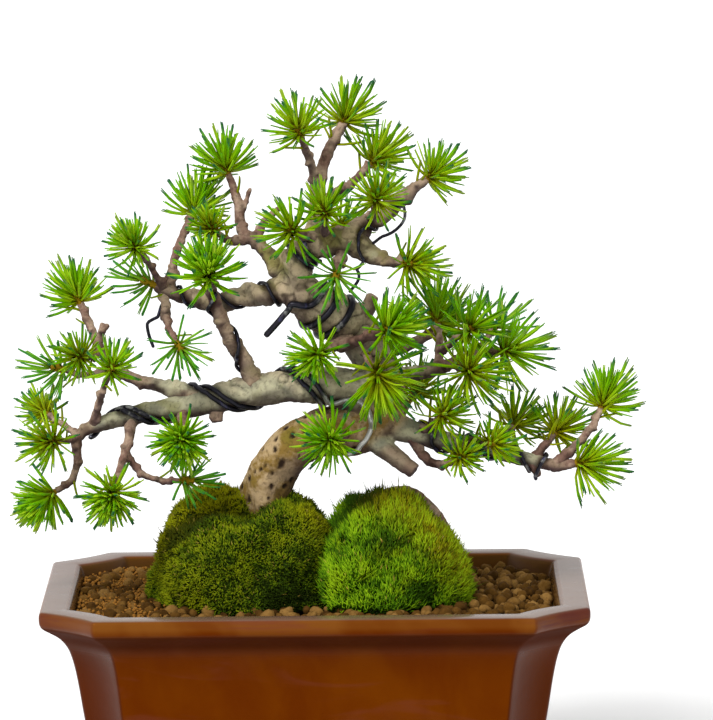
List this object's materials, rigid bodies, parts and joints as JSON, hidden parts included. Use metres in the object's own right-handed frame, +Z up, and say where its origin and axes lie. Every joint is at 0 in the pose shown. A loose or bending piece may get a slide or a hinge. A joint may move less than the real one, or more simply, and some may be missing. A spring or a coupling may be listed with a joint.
{
  "type": "japanese white pine bonsai",
  "caption": "Small Japanese white pine bonsai with a curved, wired trunk and needle tufts, growing through moss mounds in a glazed brown rectangular pot.",
  "frame": {"origin": "on the surface that the pot's feet stand on, under the middle of the whole piece's bounding box", "axes": "+Z up; X along the pot's long side, with +X to the viewer's right; -Y towards the side from which the tree is shown"},
  "size_m": [0.2452, 0.152, 0.2739],
  "materials": {
    "glaze": "gloss",
    "grit": "matte",
    "screen": "matte",
    "moss_dark": "matte",
    "moss_bright": "matte",
    "bark": "matte",
    "wire": "satin",
    "needle": "satin"
  },
  "bodies": {
    "root": {"drain_screen_left": "screen", "drain_screen_right": "screen", "moss_left": "moss_dark", "moss_right": "moss_bright", "needles_crown_back": "needle", "needles_crown_front": "needle", "needles_crown_left": "needle", "needles_crown_under": "needle", "needles_droop": "needle", "needles_far_high": "needle", "needles_far_low": "needle", "needles_far_side": "needle", "needles_heel_front": "needle", "needles_left_fork": "needle", "needles_left_front": "needle", "needles_left_rise": "needle", "needles_left_side": "needle", "needles_low_centre": "needle", "needles_low_first": "needle", "needles_low_front": "needle", "needles_low_hook": "needle", "needles_low_inner": "needle", "needles_low_middle": "needle", "needles_low_outer": "needle", "needles_low_right": "needle", "needles_low_side": "needle", "needles_low_tip": "needle", "needles_low_under": "needle", "needles_middle_side": "needle", "needles_reach_back": "needle", "needles_reach_front": "needle", "needles_reach_middle": "needle", "needles_reach_up": "needle", "needles_right_arm": "needle", "needles_right_front": "needle", "needles_right_mid": "needle", "needles_right_reach": "needle", "needles_right_up": "needle", "needles_rising_twig": "needle", "needles_shelf_front": "needle", "needles_top_left": "needle", "needles_top_middle": "needle", "needles_top_right": "needle", "needles_trunk_front": "needle", "needles_upper_front": "needle", "needles_upper_hang": "needle", "needles_upper_left": "needle", "needles_upper_mid": "needle", "needles_upper_rise": "needle", "pot": "glaze", "soil": "grit", "tree_wood": "bark", "wire_branch_first": "wire", "wire_branch_second": "wire", "wire_crown": "wire", "wire_low_right": "wire", "wire_rising_twig": "wire", "wire_trunk_second": "wire", "wire_trunk_thick": "wire", "wire_upper_left": "wire"}
  },
  "joints": []
}
